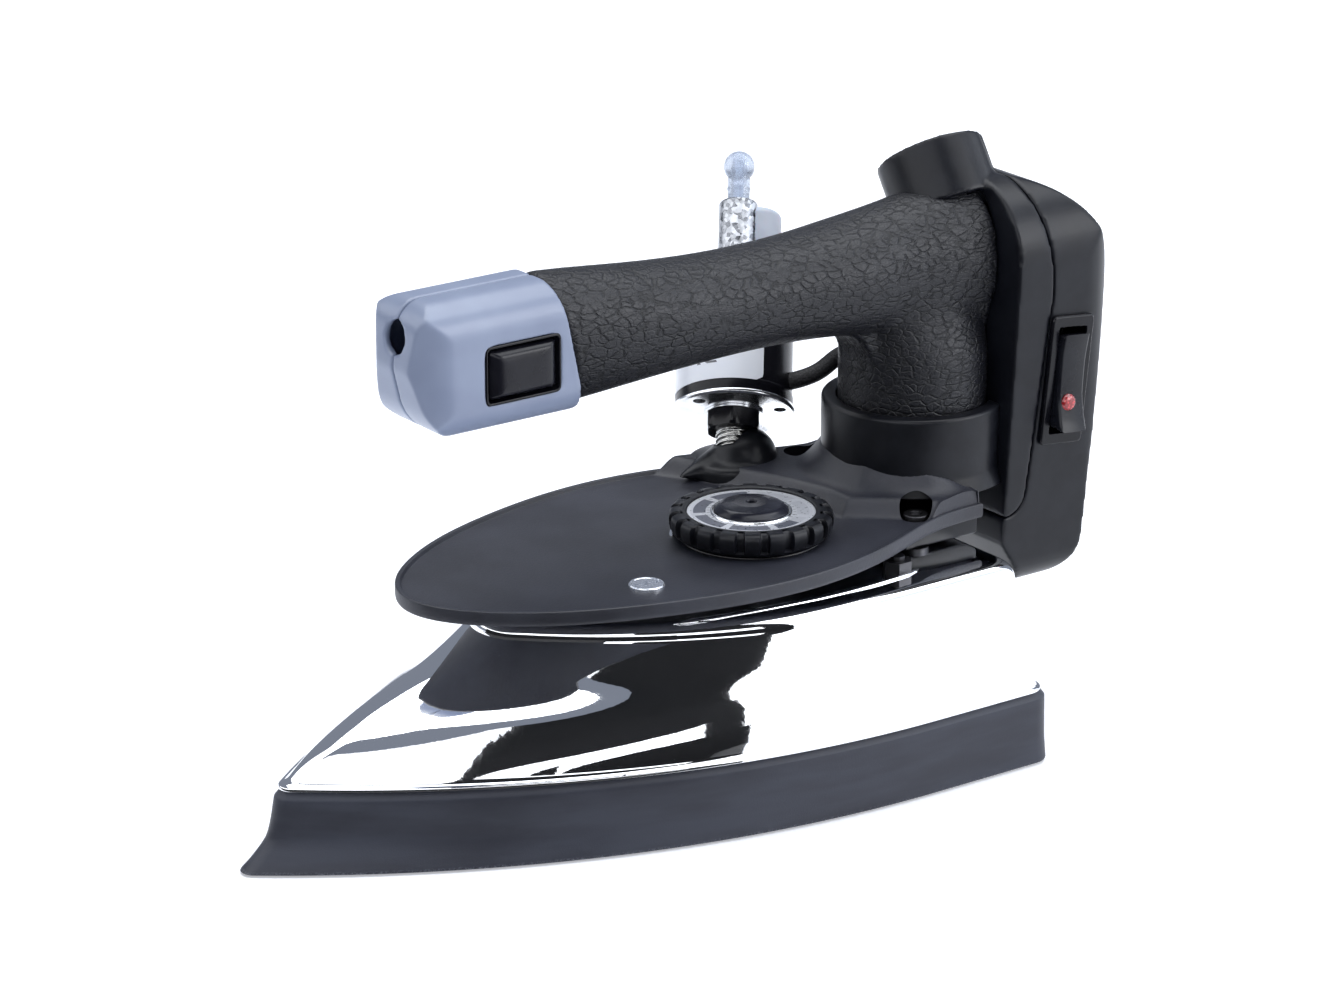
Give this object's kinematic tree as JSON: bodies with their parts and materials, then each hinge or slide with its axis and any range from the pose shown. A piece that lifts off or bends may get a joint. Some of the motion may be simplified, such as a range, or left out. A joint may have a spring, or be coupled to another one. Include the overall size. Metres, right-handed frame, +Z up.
{
  "type": "steam iron",
  "caption": "Gravity-feed steam iron: heavy coated sole, mirror cover, round heat-shield base with a heat knob, grained handle, tall rear housing and water valve.",
  "frame": {"origin": "on the sole's flat face, on the centre plane, halfway along the sole", "axes": "+X towards the toe, +Y towards the iron's left side, +Z up out of the sole"},
  "size_m": [0.2632, 0.1411, 0.1578],
  "materials": {
    "coated_sole": "dark ceramic-coated cast, satin",
    "chrome": "mirror plated sheet steel",
    "black_panel": "fine-grained moulded phenolic, blue-black",
    "black_shell": "satin moulded, blue-black",
    "leather_grip": "moulded leather grain, satin",
    "cap_grey": "pale blue-grey, semi-gloss",
    "smoke_plastic": "smoke grey, semi-gloss",
    "knob_black": "moulded, satin",
    "dial_print": "printed foil ring",
    "bright_metal": "bright turned metal",
    "steel": "plain steel",
    "spangled_zinc": "galvanised, spangled",
    "brass_thread": "nickel-plated thread",
    "coil_black": "moulded resin, satin",
    "label_white": "white film label",
    "nylon_pale": "milky nylon",
    "clear_plastic": "clear moulded",
    "sleeve_black": "woven black sleeve",
    "copper_wire": "enamelled copper",
    "rocker_grey": "smoke black, semi-gloss",
    "red_lens": "clear red",
    "white_ceramic": "white ceramic",
    "badge_blue": "bright disc with a pale blue face"
  },
  "bodies": {
    "iron": {"soleplate": "coated_sole", "steam_chamber_lid": "steel", "heating_element": "steel", "chrome_cover": "chrome", "base_plate": "black_panel", "base_screws": "steel", "spacer_pillars": "steel", "cover_studs": "steel", "cover_nuts": "steel", "water_tube": "steel", "thermostat": "white_ceramic", "thermal_fuse": "white_ceramic", "fuse_clip": "steel", "badge": "badge_blue", "knob_bush": "coil_black", "handle_core": "steel", "handle_grip": "leather_grip", "handle_leg": "leather_grip", "cap_left": "cap_grey", "cap_right": "cap_grey", "cap_screw": "steel", "button_frame": "smoke_plastic", "microswitch": "coil_black", "housing_front": "black_shell", "housing_rear": "black_shell", "housing_screws": "steel", "terminal_block": "white_ceramic", "switch_body": "coil_black", "valve_nipple": "brass_thread", "lock_nut": "coil_black", "valve_flange": "bright_metal", "coil_housing": "coil_black", "coil_label": "label_white", "coil_winding": "copper_wire", "armature_tube": "brass_thread", "plunger_spring": "steel", "pole_piece": "steel", "valve_head": "spangled_zinc", "coil_plug": "nylon_pale", "hose_barb": "clear_plastic", "lead_gland": "coil_black", "valve_lead": "sleeve_black"},
    "knob": {"knob": "knob_black", "dial_ring": "dial_print", "knob_cap": "bright_metal", "thermostat_shaft": "steel"},
    "steam_button": {"steam_button": "smoke_plastic", "microswitch_plunger": "steel"},
    "rocker": {"switch_rocker": "rocker_grey", "switch_lens": "red_lens"},
    "plunger": {"valve_plunger": "steel"}
  },
  "joints": [
    {"name": "heat_knob", "type": "hinge", "parent": "iron", "child": "knob", "pos_m": [-0.0445, 0.011, 0.066], "axis": [0, 0, 1], "range_deg": [-270, 0]},
    {"name": "steam_press", "type": "slide", "parent": "iron", "child": "steam_button", "axis": [0, -1, 0], "range_m": [0, 0.002], "stiffness_N_per_m": 400},
    {"name": "power_rocker", "type": "hinge", "parent": "iron", "child": "rocker", "pos_m": [-0.1385, 0.0251, 0.0915], "axis": [0.9945, 0, 0.1045], "range_deg": [-16, 0]},
    {"name": "valve_lift", "type": "slide", "parent": "iron", "child": "plunger", "axis": [-0.39, -0.4939, 0.7771], "range_m": [0, 0.0015], "stiffness_N_per_m": 500}
  ]
}
